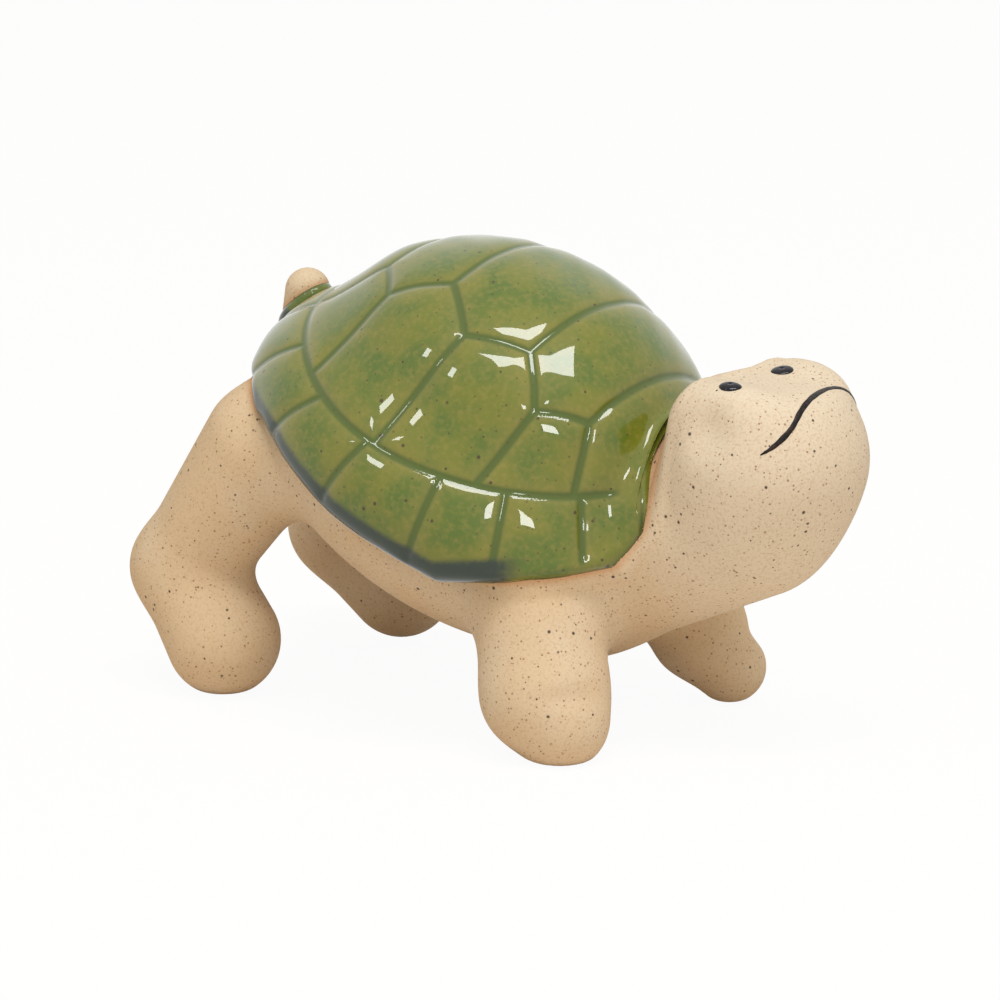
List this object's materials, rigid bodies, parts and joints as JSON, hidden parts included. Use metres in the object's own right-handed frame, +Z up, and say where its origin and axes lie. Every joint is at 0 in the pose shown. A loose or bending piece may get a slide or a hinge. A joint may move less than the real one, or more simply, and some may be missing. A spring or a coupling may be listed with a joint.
{
  "type": "turtle figurine",
  "caption": "Small hollow stoneware turtle standing on its legs with its head raised, with a glazed carved shell, enamelled eyes and a brushed mouth.",
  "frame": {"origin": "centre of the object's bounding box, on the plane that the soles stand on", "axes": "+X towards the nose, +Y towards the turtle's left side, +Z up"},
  "size_m": [0.1624, 0.091, 0.0981],
  "materials": {
    "stoneware": "matte, dark specks",
    "green_glaze": "glossy, darker where it pools",
    "black_enamel": "glossy black",
    "black_underglaze": "satin black brush line"
  },
  "bodies": {
    "root": {"stoneware_body": "stoneware", "shell_glaze": "green_glaze", "left_eye": "black_enamel", "right_eye": "black_enamel", "mouth_line": "black_underglaze"}
  },
  "joints": []
}
